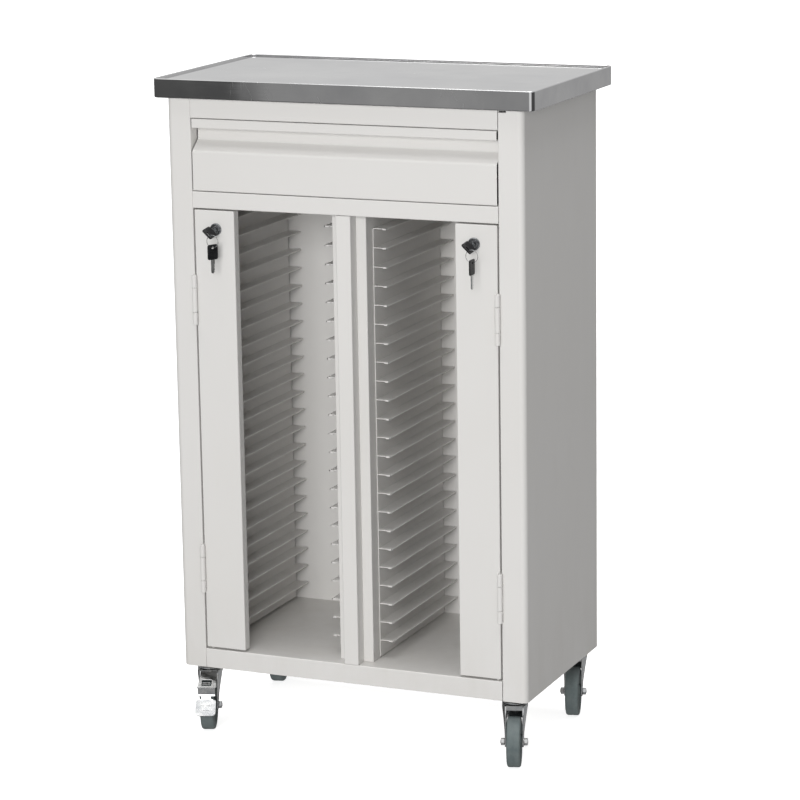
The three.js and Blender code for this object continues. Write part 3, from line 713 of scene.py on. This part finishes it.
def hinge(name, place):
    """A butt hinge: two leaves in the gap and three knuckles round a pin."""
    side = SIDES[name]
    frame_node = f"hinge_frame_leaf_{name}_{place}"
    door_node = f"hinge_door_leaf_{name}_{place}"
    low, high = box_mm(frame_node)
    radius, bore, chamfer, gap = (HINGE[key] for key in ("radius", "bore", "chamfer", "gap"))
    centre = (side * HINGE["x"], low.y + radius)
    door_face = box_mm("door_left")[0].y
    start, end = (low.z + height for height in KNUCKLES)

    def leaf(face, back, spans):
        """A leaf in the gap, with a tongue out to each of its knuckles."""
        bm = bmesh.new()
        plate = sorted((side * face, side * (face + HINGE["leaf"])))
        add_block(bm, plate, (door_face + 1, back), (low.z, high.z))
        for bottom, top in spans:
            tongue = (bottom + CLEAR, top - CLEAR)
            add_block(bm, plate, (centre[1] + 2.2, door_face + 1.5), tongue)
            add_lathe(bm, [
                (bore, bottom), (radius - chamfer, bottom), (radius, bottom + chamfer),
                (radius, top - chamfer), (radius - chamfer, top), (bore, top),
            ], "z", centre, 32)
        return bm

    bm = leaf(LEAF_FACE["frame"], high.y, [(low.z, start), (end + gap, high.z)])
    make(frame_node, bm, "cabinet", "paint", [frame_node], edge=0.12)
    bm = leaf(LEAF_FACE["door"], box_mm(door_node)[1].y, [(start + gap, end)])
    make(door_node, bm, f"door_{name}", "paint", [door_node], edge=0.12)
    bm = bmesh.new()
    foot, head = low.z + gap, high.z - gap
    add_lathe(bm, [(0, foot), (HINGE["pin"], foot), (HINGE["pin"], head), (0, head)], "z", centre, 24)
    make(f"hinge_pin_{name}_{place}", bm, "cabinet", "zinc", edge=0.1)


# ---- Locks and keys ----------------------------------------------------------------------------

def lock(name):
    """Face disc, barrel and nut on the door; plug, cam and screw turn with the key."""
    housing, plug, cam = f"lock_housing_{name}", f"lock_plug_{name}", f"lock_cam_{name}"
    low, high = box_mm(housing)
    centre = (middle_mm(housing).x, middle_mm(housing).z)
    door_face = box_mm(f"door_{name}")[0].y
    disc, barrel, bore = LOCK["disc"], LOCK["barrel"], LOCK["bore"]
    bm = bmesh.new()
    add_lathe(bm, [
        (bore, low.y + 1.0), (bore + 0.5, low.y + 0.4), (6.6, low.y + 0.15), (7.0, low.y + 0.7),
        (7.5, low.y + 0.7), (7.9, low.y), (disc - 1.1, low.y + 0.1), (disc, low.y + 1.1),
        (disc, door_face - CLEAR), (barrel, door_face - CLEAR), (barrel, high.y), (bore, high.y),
    ], "y", centre, 64)
    near, far = door_face + 1.6, door_face + 5.6
    inner, outer, chamfer = LOCK["nut_bore"], LOCK["nut"], LOCK["chamfer"]
    add_lathe(bm, [
        (inner, near), (outer - chamfer, near), (outer, near + chamfer),
        (outer, far - chamfer), (outer - chamfer, far), (inner, far),
    ], "y", centre, 6)
    make(housing, bm, f"door_{name}", "lock_metal", [housing], edge=0.15)

    end = box_mm(plug)[1].y
    bm = bmesh.new()
    core = bore - 0.35
    add_lathe(bm, [
        (0, low.y + 0.5), (core - 0.65, low.y + 0.5), (core, low.y + 0.9), (core, high.y), (0, high.y),
    ], "y", centre, 48)
    add_prism(bm, circle(*centre, 4, 4, QUARTER), "y", high.y - 1, high.y + 3)
    add_lathe(bm, [
        (0, high.y + 2.4), (5, high.y + 2.4), (5, high.y + 4.2), (4.4, end), (0, end),
    ], "y", centre, 6)
    make(plug, bm, plug, "lock_metal", [plug], edge=0.12)

    low, high = box_mm(cam)
    bm = bmesh.new()
    arm = [(-6, 0), (-6, 30), (-4.2, 34.2), (0, 36), (4.2, 34.2), (6, 30), (6, 0)]
    eye = [(9 * math.cos(a), 9 * math.sin(a)) for a in (math.radians(d) for d in range(-10, -171, -16))]
    lean = Matrix.Rotation(-SIDES[name] * KEY_TURN, 2)
    outline = [tuple(lean @ Vector(point) + Vector(centre)) for point in (*arm, *reversed(eye))]
    add_prism(bm, outline, "y", low.y, high.y)
    make(cam, bm, plug, "zinc", [cam], edge=0.2)


def key_head(top, slot_u, slot_v, first_rib, body, node, matrix):
    """The head: a rounded plate with a slot for the ring and ribs across each face."""
    across, along = (-BOW["half"], BOW["half"]), (top - 24, top)
    thick = BOW["half_thick"]
    bm = bmesh.new()
    add_prism(bm, rounded_rectangle(across, along, BOW["corner"], 6), "z", -thick + 0.3, thick - 0.3)
    move(bm, matrix)
    head = make(node, bm, body, "black_plastic", [node], edge=0.5, segments=3)
    cutter = bmesh.new()
    add_prism(cutter, rounded_rectangle(slot_u, slot_v, 1.2, 4), "z", -thick - 1, thick + 1)
    move(cutter, matrix)
    drill(head, cutter)
    bm = bmesh.new()
    for i in range(BOW["ribs"]):
        place = first_rib + i * BOW["rib_pitch"]
        rib = rounded_rectangle(
            (across[0] + 1.6, across[1] - 1.6), (place - BOW["rib"], place + BOW["rib"]), 0.5, 3)
        add_prism(bm, rib, "z", -thick, 0.6 - thick)
        add_prism(bm, rib, "z", thick - 0.6, thick)
    move(bm, matrix)
    make(f"{node}_ribs", bm, body, "black_plastic", edge=0.15)


def key_blade(outline, body, node, matrix):
    """A flat blade cut to an outline."""
    bm = bmesh.new()
    add_prism(bm, outline, "z", -BLADE, BLADE)
    move(bm, matrix)
    make(f"{node}_blade", bm, body, "zinc", edge=0.15)


def key(name):
    """The key in its plug, drooping a little, with its head turned to 45 degrees."""
    centre = middle_mm(f"lock_housing_{name}")
    face = Vector((centre.x, box_mm(f"lock_housing_{name}")[0].y, centre.z))
    droop, turn = Matrix.Rotation(KEY_DROOP, 4, "X"), Matrix.Rotation(KEY_TURN, 4, "Y")
    matrix = Matrix.Translation(face) @ droop @ turn
    body = f"lock_plug_{name}"
    first_rib = -10.5 - (BOW["ribs"] - 1) * BOW["rib_pitch"]
    key_head(-8, (-3, 7), (-28.8, -24.8), first_rib, body, f"key_{name}", matrix)
    key_blade([
        (-4.6, -9), (-4.6, -4.5), (-3.25, -2.6), (-3.25, 6), (3.25, 6), (3.25, -2.6), (4.6, -4.5), (4.6, -9),
    ], body, f"key_{name}", matrix)


def ring_and_spare(name):
    """The split ring, two close turns of wire, and the spare key hanging from it."""
    ring, spare = f"key_ring_{name}", f"spare_key_{name}"
    centre = middle_mm(ring)
    low, high = box_mm(ring)
    radius = (high.x - low.x) / 2 - 2 * RING["wire"]
    length = RING["turns"] * RING["steps"]
    coil = []
    for i in range(int(length) + 1):
        angle = 2 * math.pi * i / RING["steps"] + RING["start"]
        lift = RING["spread"] * (2 * i / length - 1)
        coil.append(centre + Vector((radius * math.cos(angle), lift, radius * math.sin(angle))))
    bm = bmesh.new()
    add_wire(bm, coil, RING["wire"])
    make(ring, bm, ring, "zinc", [ring], edge=0)

    hang = Matrix.Translation(centre - Vector((0, 0, radius))) @ Matrix.Rotation(SPARE_YAW[name], 4, "Z")
    matrix = hang @ Matrix.Rotation(QUARTER, 4, "Y") @ Matrix.Rotation(QUARTER, 4, "Z")
    key_head(5, (-2.6, 2.6), (-2.0, 1.2), -16.5, spare, spare, matrix)
    key_blade([
        (-3.25, -18), (-3.25, -39.5), (-1.6, -41), (0.6, -41), (2.4, -39), (2.0, -36.5), (2.9, -34.5),
        (1.7, -32.2), (2.8, -30), (2.0, -27.6), (3.25, -25.5), (3.25, -18),
    ], spare, spare, matrix)


# ---- Casters -----------------------------------------------------------------------------------

def caster_place(name):
    """The matrix from a caster drawn trailing towards -Y to where it stands."""
    stem = middle_mm(f"caster_stem_{name}")
    axle = middle_mm(f"caster_axle_{name}")
    away = axle - stem
    matrix = Matrix.Translation((stem.x, stem.y, 0)) @ Matrix.Rotation(math.atan2(away.x, -away.y), 4, "Z")
    return matrix, math.hypot(away.x, away.y), axle.z


def caster(name):
    """One swivel caster: stem, crown, legs, axle and wheel, and the brake where it has one."""
    matrix, trail, wheel = caster_place(name)
    axle = (-trail, wheel)
    fork_body, wheel_body = f"caster_{name}", f"wheel_{name}"
    stem, fork = f"caster_stem_{name}", f"caster_fork_{name}"

    def done(node, bm, body, slot, replaced=(), edge=EDGE):
        """Turn what was drawn to where the caster stands, and make it a piece."""
        move(bm, matrix)
        return make(node, bm, body, slot, replaced, edge)

    bm = bmesh.new()
    bolt, cup = STEM["bolt"], STEM["cup"]
    add_lathe(bm, [
        (0, cup), (18.6, cup), (20.0, cup + 0.5), (20.5, cup + 1.6), (20.2, cup + 2.6),
        (17.8, cup + 7.7), (16.8, cup + 8.7), (bolt, cup + 8.7),
        (bolt, STEM["top"] - 0.8), (bolt - 0.8, STEM["top"]), (0, STEM["top"]),
    ], "z", (0, 0), 64)
    low, high, radius = STEM_NUT["bottom"], STEM_NUT["top"], STEM_NUT["radius"]
    bore, chamfer = STEM_NUT["bore"], STEM_NUT["chamfer"]
    add_lathe(bm, [
        (bore, low), (radius - chamfer, low), (radius, low + 0.6),
        (radius, high - 0.7), (radius - chamfer, high), (bore, high),
    ], "z", (0, 0), 6)
    foot, head, neck = STEM["foot"], STEM["head"], STEM["neck"]
    add_lathe(bm, [
        (0, foot), (head - 1, foot), (head, foot + 0.8), (head, foot + 2.4),
        (neck, foot + 2.6), (neck, cup + 0.4), (0, cup + 0.4),
    ], "z", (0, 0), 32)
    done(stem, bm, "cabinet", "zinc", [stem], edge=0.15)

    bm = bmesh.new()
    low, high, radius, bore = (CROWN[key] for key in ("bottom", "top", "radius", "bore"))
    add_lathe(bm, [
        (bore, low), (radius - 1.7, low), (radius - 0.5, low + 0.8), (radius, low + 2.2),
        (radius, high - 0.6), (radius - 0.6, high), (bore, high),
    ], "z", (0, 0), 64)
    done(fork, bm, fork_body, "zinc", [fork], edge=0.15)
    fork_legs(name, done, axle)
    if name in BRAKED:
        brake(name, done)

    bm = bmesh.new()
    pin, end, chamfer = AXLE["radius"], AXLE["half"], AXLE["chamfer"]
    add_lathe(bm, [
        (0, -end), (pin - chamfer, -end), (pin, chamfer - end),
        (pin, end - chamfer), (pin - chamfer, end), (0, end),
    ], "x", axle, 24)
    add_lathe(bm, [(pin, 15.4), (5.4, 15.4), (6, 15.9), (6, 20.6), (5.3, 21.2), (pin, 21.2)], "x", axle, 6)
    add_lathe(bm, [
        (pin, -21.0), (5.3, -21.0), (6, -20.4), (6, -15.7), (5.5, -15.4), (pin, -15.4),
    ], "x", axle, 6)
    add_lathe(bm, [(pin, 14.85), (7.4, 14.85), (7.4, 15.35), (pin, 15.35)], "x", axle, 32)
    done(f"caster_axle_{name}", bm, fork_body, "zinc", [f"caster_axle_{name}"], edge=0.2)

    bm = bmesh.new()
    half, line = WHEEL["half"], WHEEL["mould_line"]
    shoulder = [
        (wheel - 9, half - 0.8), (wheel - 7.8, half), (wheel - 4, half), (wheel - 1.7, half - 0.6),
        (wheel - 0.5, half - 2), (wheel, half - 4), (wheel, line),
    ]
    tyre = [(radius, -along) for radius, along in shoulder] + [(wheel - 0.7, 0)]
    add_lathe(bm, tyre + shoulder[::-1], "x", axle, 96)
    done(f"caster_wheel_{name}", bm, wheel_body, "grey_rubber", [f"caster_wheel_{name}"], edge=0)
    bm = bmesh.new()
    face = [
        (wheel - 8.7, half - 1.1), (wheel - 10, half - 1.1), (wheel - 11.5, half - 3.6), (14.0, half - 4.4),
        (12.6, half - 0.8), (11.4, half + 0.8), (8.2, WHEEL["hub_face"]), (WHEEL["bore"], WHEEL["hub_face"]),
    ]
    hub = [(radius, -along) for radius, along in face] + face[::-1]
    add_lathe(bm, hub, "x", axle, 72)
    done(f"wheel_hub_{name}", bm, wheel_body, "grey_rubber", edge=0)


def between(points, value):
    """The second number at a value of the first, from points in rising order."""
    for (a, first), (b, second) in zip(points, points[1:]):
        if value <= b:
            return first + (second - first) * (value - a) / (b - a)
    return points[-1][1]


def fork_legs(name, done, axle):
    """Two legs stamped from the crown down to the axle: they bulge with the crown, and end in flat eyes."""
    trail, wheel = -axle[0], axle[1]
    top, eye, columns = LEG["top"], LEG["eye"], LEG["columns"]
    near = [(wheel, -trail - eye), (84, -27), (96, -20)]
    far = [(wheel, -trail + eye), (80, 13), (96, 17)]
    spans = []
    for k in range(LEG["rows"]):
        z = top + (wheel - top) * k / (LEG["rows"] - 1)
        spans.append((z, between(near, z), between(far, z)))
    for k in range(1, 7):
        angle = QUARTER * k / 6.2
        drop, reach = eye * math.sin(angle), eye * math.cos(angle)
        spans.append((wheel - drop, -trail - reach, -trail + reach))
    across = [2 * j / columns - 1 for j in range(columns + 1)]
    bm = bmesh.new()
    for side in (-1, 1):
        skins = []
        for inset in (0, LEG["thick"]):
            rows = []
            for z, low, high in spans:
                swell = LEG["bulge"] * min(1.0, max(0.0, (z - wheel - 4) / 46)) ** 1.3
                x = LEG["half"] - inset
                rows.append([
                    bm.verts.new((side * (x + swell * (1 - t * t)), low + (high - low) * (t + 1) / 2, z))
                    for t in across
                ])
            skins.append(rows)
        for rows in skins:
            for a, b in zip(rows, rows[1:]):
                for j in range(columns):
                    bm.faces.new((a[j], a[j + 1], b[j + 1], b[j]))
        rims, linings = (
            [[row[0] for row in rows], [row[-1] for row in rows], rows[0], rows[-1]] for rows in skins)
        for rim, lining in zip(rims, linings):
            for j in range(len(rim) - 1):
                bm.faces.new((rim[j], rim[j + 1], lining[j + 1], lining[j]))
    done(f"fork_legs_{name}", bm, f"caster_{name}", "zinc", edge=0.4)
    bm = bmesh.new()
    add_block(bm, (-13.4, 13.4), (-21.4, -19.2), (87.8, 95.6))
    add_block(bm, (-13.0, 13.0), (11.0, 13.2), (66, 90))
    done(f"fork_skirts_{name}", bm, f"caster_{name}", "zinc", edge=0.5)


def add_ribbon(bm, path, outline, thickness=PRESSED):
    """A strip bent along a path in (y, z). Its outline gives the half width at distances along it."""
    line = bend_corners(path)
    reach = [0.0]
    for a, b in zip(line, line[1:]):
        reach.append(reach[-1] + (b - a).length)
    rows = []
    for stop in sorted({*reach, *(distance for distance, half in outline)}):
        i = max(k for k in range(len(line) - 1) if reach[k] <= stop + 0.001)
        way = (line[i + 1] - line[i]).normalized()
        point = line[i] + way * (stop - reach[i])
        aside = Vector((-way.y, way.x)) * thickness / 2
        half = between(outline, stop)
        near, far = point + aside, point - aside
        section = ((-half, near), (half, near), (half, far), (-half, far))
        rows.append([bm.verts.new((x, p.x, p.y)) for x, p in section])
    for a, b in zip(rows, rows[1:]):
        for i in range(4):
            bm.faces.new((a[i - 1], a[i], b[i], b[i - 1]))
    bm.faces.new(rows[0])
    bm.faces.new(rows[-1])


def brake(name, done):
    """A sloping web over the tyre with a slot, and the pedal that hangs from it by a notched neck."""
    fork_body, pedal = f"caster_{name}", f"brake_pedal_{name}"
    bm = bmesh.new()
    add_ribbon(bm, WEB, [(0, 13.2), (22, 13.2), (44, 15.4), (48.7, 15.8)])
    plate = done(f"fork_web_{name}", bm, fork_body, "zinc", edge=0.4)
    cutter = bmesh.new()
    add_block(cutter, (-9, 7), (-53.5, -40), (60, 110))
    move(cutter, caster_place(name)[0])
    drill(plate, cutter)
    bm = bmesh.new()
    add_sheet(bm, [(-41.5, 81.4), (-47.5, 79.6)], "x", -8.4, 4.6)
    done(f"brake_tab_{name}", bm, fork_body, "zinc", edge=0.3)

    bm = bmesh.new()
    corner, length, half = PLATE["corner"], PLATE["length"], PLATE["half"]
    neck = [(0, 14.0), (15.4, 14.0), (15.5, 7.6), (20.6, 7.6), (20.7, 9.0)]
    head = [(21.6, 11.0), (22.2, 13.6), (23.4, 15.6), (25.2, half)]
    rounded = [
        (length - corner + corner * math.sin(a), half - corner + corner * math.cos(a))
        for a in (QUARTER * k / 8 for k in range(9))
    ]
    add_ribbon(bm, PEDAL, neck + head + rounded)
    knee, tip = Vector(PEDAL[-2][:2]), Vector(PEDAL[-1])
    way = (tip - knee).normalized()
    for distance, reach in RIBS:
        at = knee + way * distance + Vector((way.y, -way.x)) * PRESSED / 2
        add_wire(bm, [Vector((x, at.x, at.y)) for x in (-reach, 0, reach)], 0.7)
    done(pedal, bm, f"brake_{name}", "zinc", [pedal], edge=0.3)


# ---- CAD nodes that keep their own shape -------------------------------------------------------

def keep_node(node, slot, width=0.3):
    """Dress a CAD node: merge its corners, soften its edges and give it a real material."""
    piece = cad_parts[node]
    piece.data.materials.clear()
    piece.data.materials.append(materials[slot])
    weld = piece.modifiers.new("weld", "WELD")
    weld.merge_threshold = 0.00001
    soften(piece, width)


# ---- Camera, lights and floor ------------------------------------------------------------------

def camera():
    """The camera stands in front, a little to the right and above."""
    data = bpy.data.cameras.new("camera")
    data.lens = LENS
    data.clip_end = 100
    view = bpy.data.objects.new("camera", data)
    bpy.context.scene.collection.objects.link(view)
    right = Vector((0.91989, 0.39185, -0.01549))
    up = Vector((-0.07136, 0.20609, 0.97592))
    back = right.cross(up)
    view.matrix_world = Matrix((
        (right.x, up.x, back.x, CAMERA[0]),
        (right.y, up.y, back.y, CAMERA[1]),
        (right.z, up.z, back.z, CAMERA[2]),
        (0, 0, 0, 1),
    ))
    bpy.context.scene.camera = view


def area_light(name, place, target, size, power):
    """A soft light that isn't seen in the metal, which has its own surroundings to mirror."""
    data = bpy.data.lights.new(name, "AREA")
    data.shape = "RECTANGLE"
    data.size, data.size_y = size
    data.energy = power
    light = bpy.data.objects.new(name, data)
    bpy.context.scene.collection.objects.link(light)
    light.location = place
    light.visible_glossy = False
    light.rotation_euler = (Vector(target) - Vector(place)).to_track_quat("-Z", "Y").to_euler()


def sky():
    """What lights the trolley and what its metal mirrors. The camera sees plain white."""
    world = bpy.data.worlds.new("studio")
    bpy.context.scene.world = world
    world.use_nodes = True
    tree = world.node_tree
    way = add_node(tree, "SeparateXYZ", {"Vector": add_node(tree, "TexCoord").outputs["Generated"]})
    east, north, up = (way.outputs[axis] for axis in "XYZ")
    azimuth = times(tree, east, times(tree, north, -1.0), "ARCTAN2")
    below = MIRRORED_FLOOR
    for start, end, step in TURNS:
        change = ramp(tree, azimuth, math.radians(start), math.radians(end), 0.0, step)
        below = times(tree, change, below, "ADD")
    above = ramp(tree, north, -0.4, 0.6, 0.40, 0.67)
    lifted = ramp(tree, up, -0.08, 0.06)
    softbox = times(tree, ramp(tree, up, 0.36, 0.46, 0.0, 0.8), ramp(tree, north, 0.35, 0.1))
    above = times(tree, above, softbox, "ADD")
    rise = times(tree, lifted, times(tree, above, below, "SUBTRACT"))
    mirrored = times(tree, below, rise, "ADD")
    path = add_node(tree, "LightPath")
    wall = ramp(tree, north, -0.9, 0.3, FRONT_GLOW, AMBIENT)
    soft = blend_colours(tree, ramp(tree, up, -0.05, 0.05), (FLOOR_GLOW,) * 3, wall)
    seen = blend_colours(tree, path.outputs["Is Glossy Ray"], soft, mirrored)
    seen = blend_colours(tree, path.outputs["Is Camera Ray"], seen, (1.0, 1.0, 1.0))
    tree.links.new(seen, tree.nodes["Background"].inputs["Color"])


def studio():
    """A seamless white floor that glows a little, a broad key in front and a soft overhead light."""
    bpy.context.scene.view_settings.view_transform = "Standard"
    bm = bmesh.new()
    bmesh.ops.create_grid(bm, x_segments=1, y_segments=1, size=40)
    mesh = bpy.data.meshes.new("floor")
    bm.to_mesh(mesh)
    bm.free()
    floor = bpy.data.objects.new("floor", mesh)
    bpy.context.scene.collection.objects.link(floor)
    constants = {"Base_Color": (0.8, 0.8, 0.8, 1), "Emission_Color": (1, 1, 1, 1), "Emission_Strength": 0.75}
    mesh.materials.append(new_material("floor", Roughness=0.9, **constants)[0])
    floor.visible_glossy = False
    floor.visible_diffuse = False
    floor.visible_shadow = False

    area_light("key", **KEY_LIGHT)
    data = bpy.data.lights.new("overhead", "SUN")
    data.energy = OVERHEAD["energy"]
    data.angle = OVERHEAD["angle"]
    light = bpy.data.objects.new("overhead", data)
    bpy.context.scene.collection.objects.link(light)


# ---- The trolley -------------------------------------------------------------------------------

for side_name, side_sign in SIDES.items():
    side_panel(side_name, side_sign)
    for part_name in ("inner", "outer"):
        rack(side_name, part_name)
    door(side_name)
    for place_name in PLACES:
        hinge(side_name, place_name)
    lock(side_name)
    key(side_name)
    ring_and_spare(side_name)
    keep_node(f"drawer_runner_{side_name}", "zinc")
    keep_node(f"base_channel_{side_name}", "paint")
rails()
posts()
worktop()
back_panel()
keep_node("deck_shelf", "paint")
drawer()
for caster_name in CASTERS:
    caster(caster_name)

camera()
sky()
studio()
